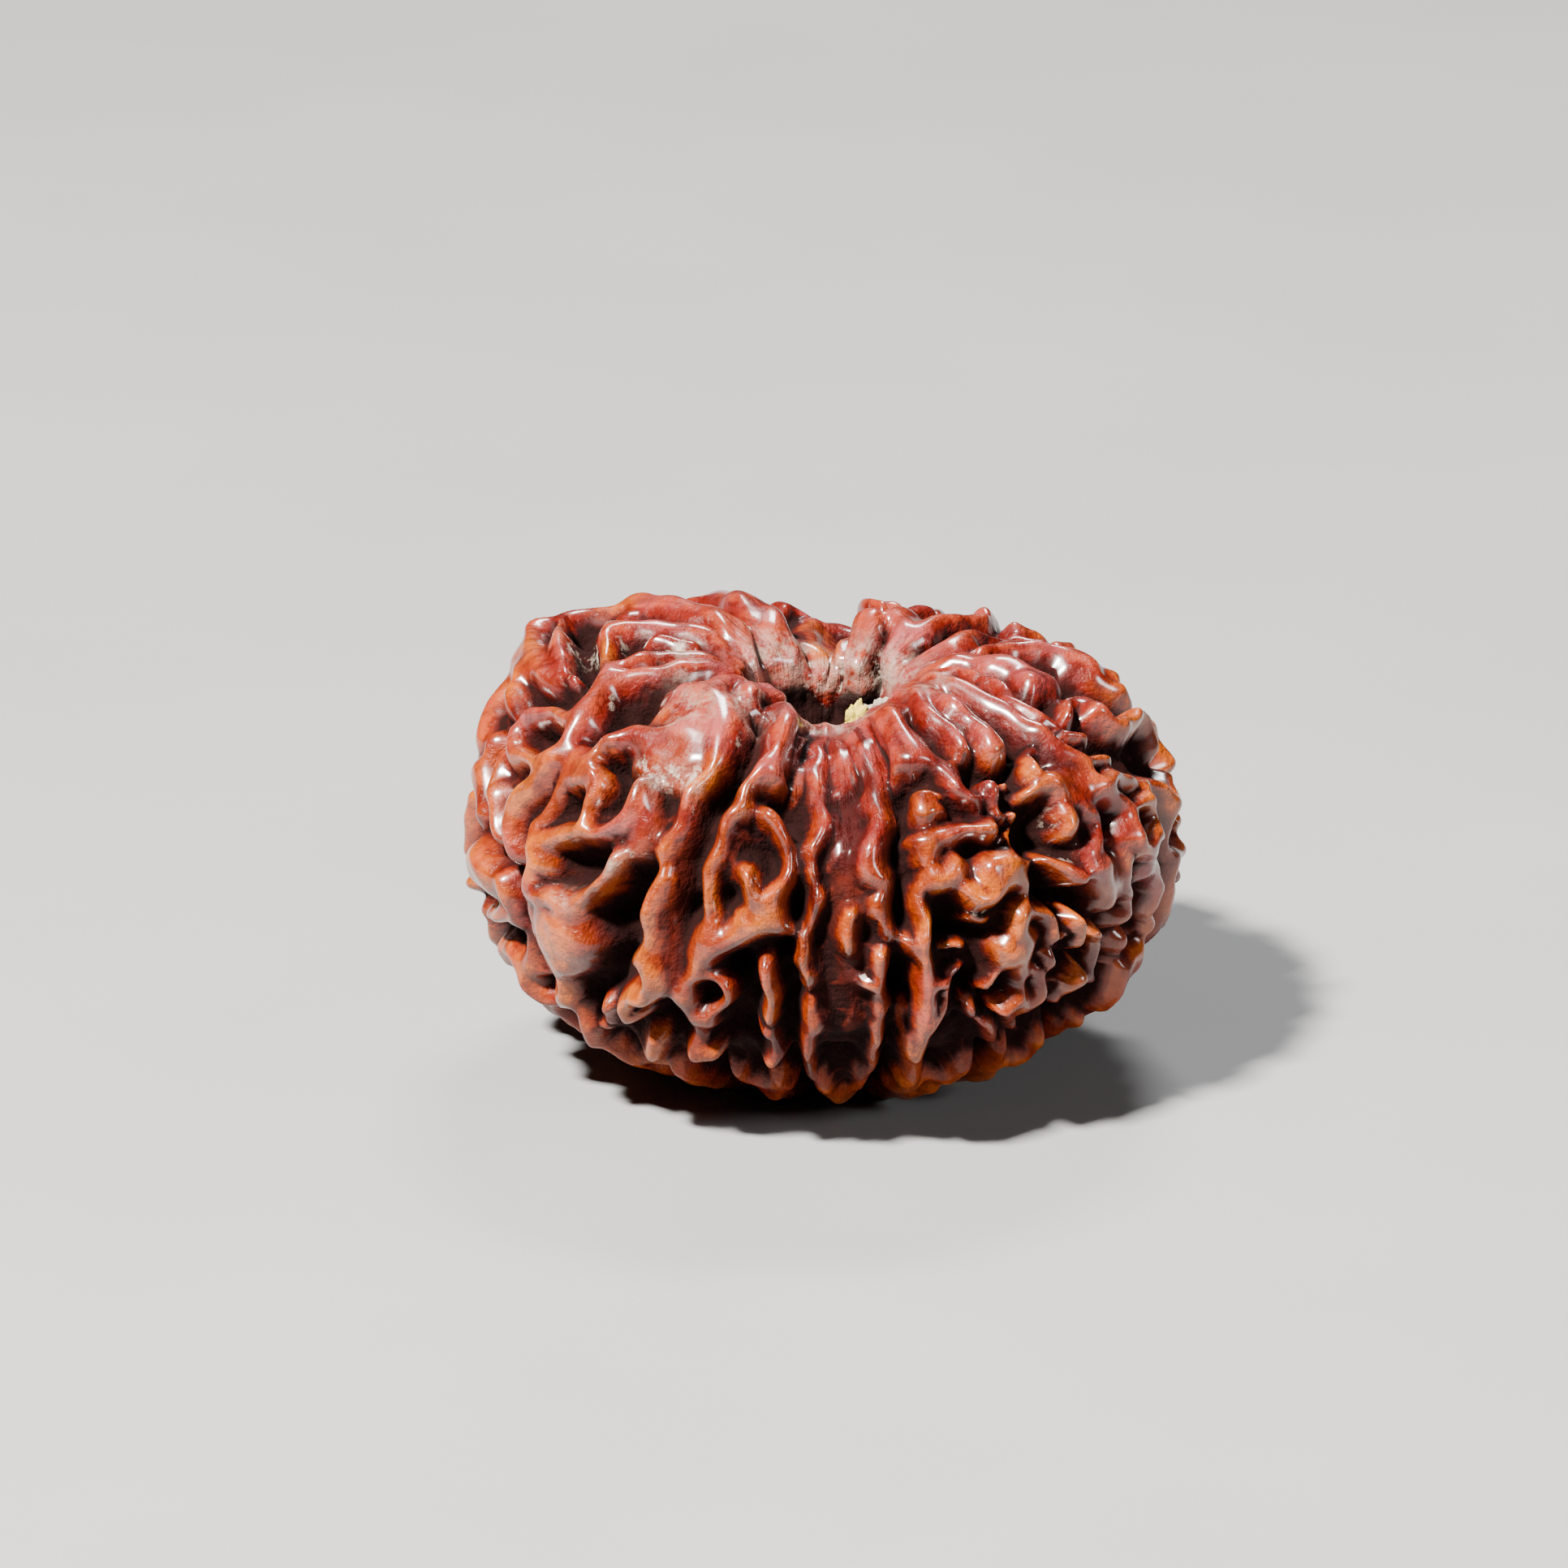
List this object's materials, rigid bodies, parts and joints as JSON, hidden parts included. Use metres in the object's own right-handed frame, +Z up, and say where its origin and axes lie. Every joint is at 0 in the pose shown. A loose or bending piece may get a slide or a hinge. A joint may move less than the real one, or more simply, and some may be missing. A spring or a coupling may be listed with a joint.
{
  "type": "rudraksha seed",
  "caption": "Stony, flattened round seed with clefts from pole to pole, a raised net of rounded ridges between them, and a natural hole along its axis.",
  "frame": {"origin": "bottom centre of the bounding box, on the surface that the seed rests on", "axes": "+Z up along the natural hole, the flattened way; +X across the seed, its widest way; -Y towards the front of the picture"},
  "size_m": [0.03, 0.0286, 0.0184],
  "materials": {
    "seed_shell": "hard red-brown seed shell, polished with wax or oil"
  },
  "bodies": {
    "root": {"rudraksha_seed": "seed_shell"}
  },
  "joints": []
}
